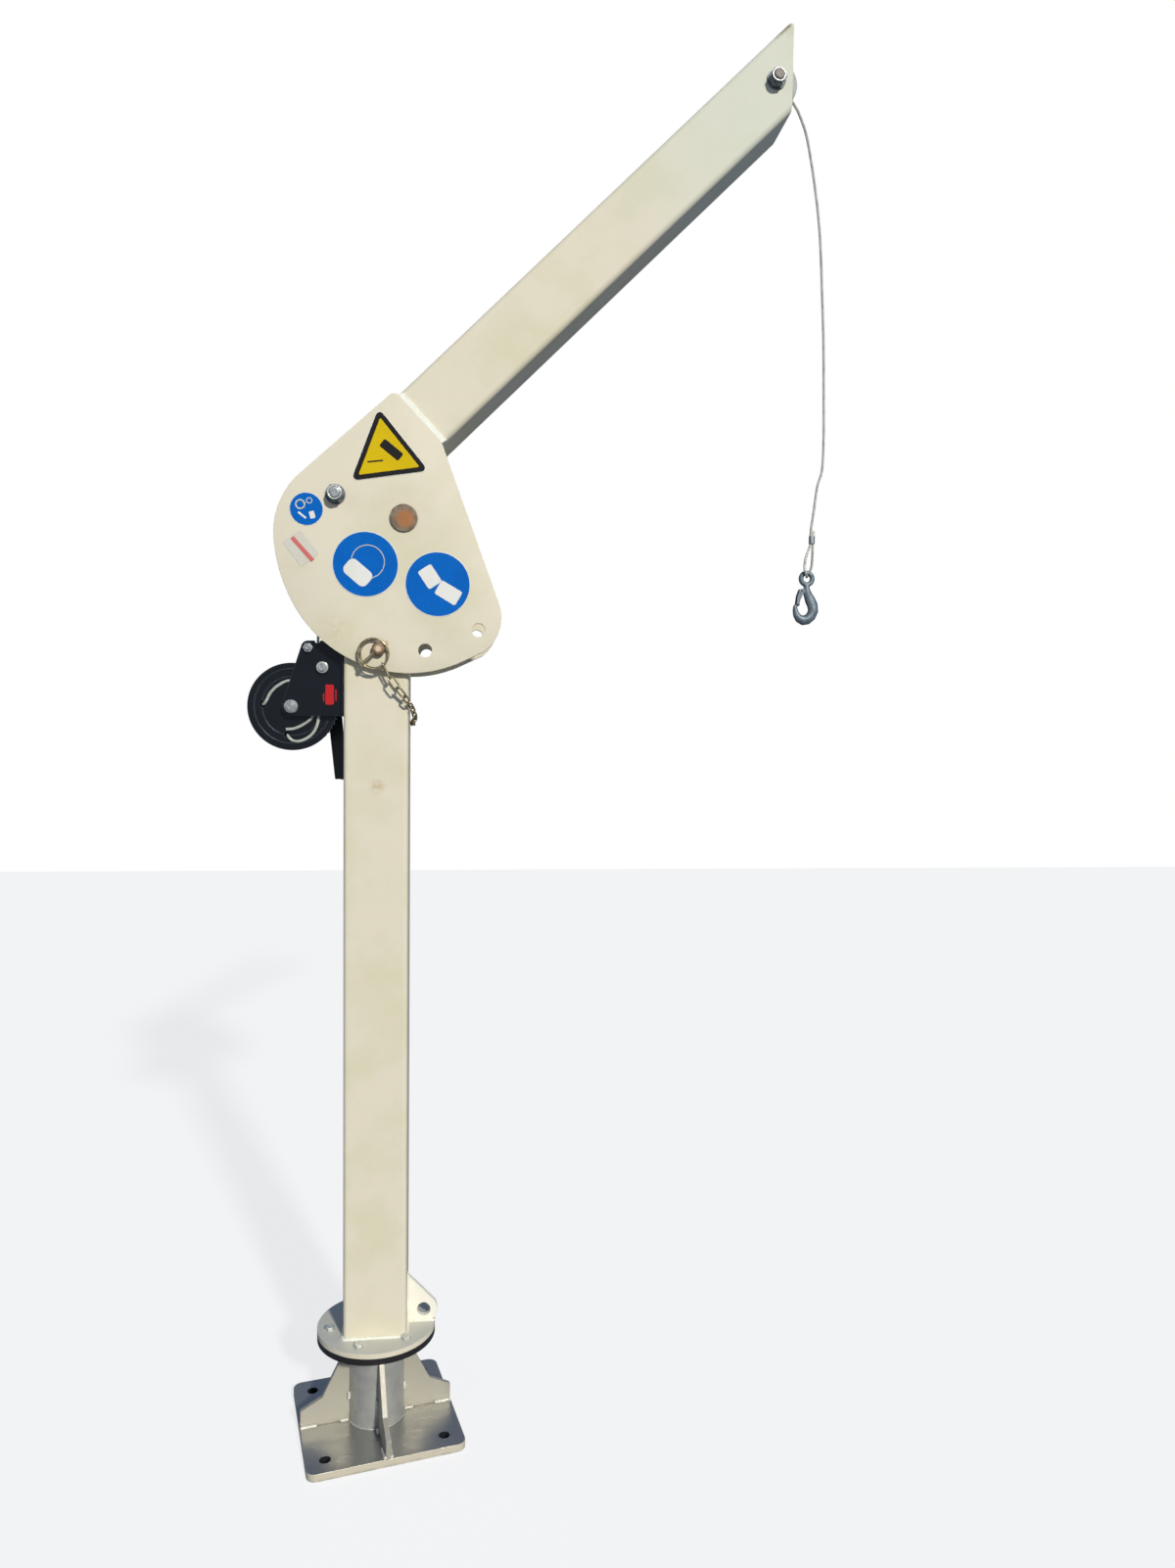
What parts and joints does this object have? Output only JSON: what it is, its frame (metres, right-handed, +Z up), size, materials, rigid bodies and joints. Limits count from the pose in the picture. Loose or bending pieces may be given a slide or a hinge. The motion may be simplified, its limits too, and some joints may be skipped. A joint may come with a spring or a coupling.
{
  "type": "jib crane",
  "caption": "Hand-operated column jib crane with a slewing flange, a luffing box jib, lock pin, geared rope winch and a hook on a wire rope.",
  "frame": {"origin": "on the slewing axis at the underside of the base plate", "axes": "+Z up along the column, +X towards the jib's tip, -Y towards the side with the lock pin's head"},
  "size_m": [0.9273, 0.3264, 2.2554],
  "materials": {
    "stainless": "ground stainless steel with weld discolouration",
    "cream_paint": "cream gloss enamel on welded steel",
    "black_paint": "black coated pressed steel",
    "black_plastic": "black polyethylene",
    "zinc": "zinc plated fasteners",
    "gear_steel": "oiled machined steel",
    "pin_steel": "bare turned steel with light rust",
    "rope_steel": "galvanised wire rope",
    "hook_paint": "grey painted forging"
  },
  "bodies": {
    "base": {"base_plate": "stainless", "pedestal_tube": "stainless", "gusset_front": "stainless", "gusset_right": "stainless", "gusset_back": "stainless", "gusset_left": "stainless", "slew_bush": "black_plastic"},
    "column": {"slip_disc": "black_plastic", "slew_flange": "cream_paint", "slew_spigot": "stainless", "flange_bolts": "zinc", "flange_nuts": "zinc", "column_tube": "cream_paint", "column_cap": "cream_paint", "pivot_boss": "cream_paint", "pivot_washers": "black_plastic", "lashing_lug": "cream_paint", "lock_pin": "zinc", "lock_pin_ring": "zinc", "pin_chain": "zinc", "winch_frame": "black_paint", "winch_bolts": "zinc", "winch_tie_bolt": "zinc", "drum_axle": "zinc", "lead_rope": "rope_steel"},
    "drum": {"winch_drum": "black_paint", "drum_gear": "gear_steel", "drum_rope": "rope_steel"},
    "crank": {"drive_shaft": "gear_steel", "crank_arm": "black_paint", "crank_grip": "black_plastic"},
    "jib": {"head_plate_front": "cream_paint", "head_plate_back": "cream_paint", "jib_arm": "cream_paint", "pivot_pin": "pin_steel", "roller_bolt": "zinc", "sheave_bolt": "zinc", "jib_rope": "rope_steel"},
    "roller": {"guide_roller": "gear_steel"},
    "sheave": {"tip_sheave": "gear_steel"},
    "hook_line": {"hanging_rope": "rope_steel", "rope_ferrule": "rope_steel", "rope_eye": "rope_steel", "hook": "hook_paint"},
    "latch": {"hook_latch": "zinc"}
  },
  "joints": [
    {"name": "slew", "type": "hinge", "parent": "base", "child": "column", "pos_m": [0, 0, 0.149], "axis": [0, 0, 1], "continuous": true},
    {"name": "luff", "type": "hinge", "parent": "column", "child": "jib", "pos_m": [0.042, 0, 1.462], "axis": [0, 1, 0], "range_deg": [0, 45]},
    {"name": "line_swing", "type": "hinge", "parent": "jib", "child": "hook_line", "pos_m": [0.61758, 0, 2.16487], "axis": [0, 1, 0], "range_deg": [-45, 0]},
    {"name": "latch", "type": "hinge", "parent": "hook_line", "child": "latch", "pos_m": [0.6937, 0, 1.3761], "axis": [0, -1, 0], "range_deg": [0, 30]},
    {"name": "drum", "type": "hinge", "parent": "column", "child": "drum", "pos_m": [-0.13, 0, 1.172], "axis": [0, 1, 0], "continuous": true},
    {"name": "crank", "type": "hinge", "parent": "column", "child": "crank", "pos_m": [-0.08207, 0, 1.2329], "axis": [0, 1, 0], "continuous": true},
    {"name": "roller", "type": "hinge", "parent": "jib", "child": "roller", "pos_m": [-0.06053, 0, 1.49382], "axis": [0, 1, 0], "continuous": true},
    {"name": "sheave", "type": "hinge", "parent": "jib", "child": "sheave", "pos_m": [0.61758, 0, 2.16487], "axis": [0, 1, 0], "continuous": true}
  ],
  "couplings": [
    {"joint": "line_swing", "follows": "luff", "ratio": -1},
    {"joint": "crank", "follows": "drum", "ratio": -4.1667}
  ]
}
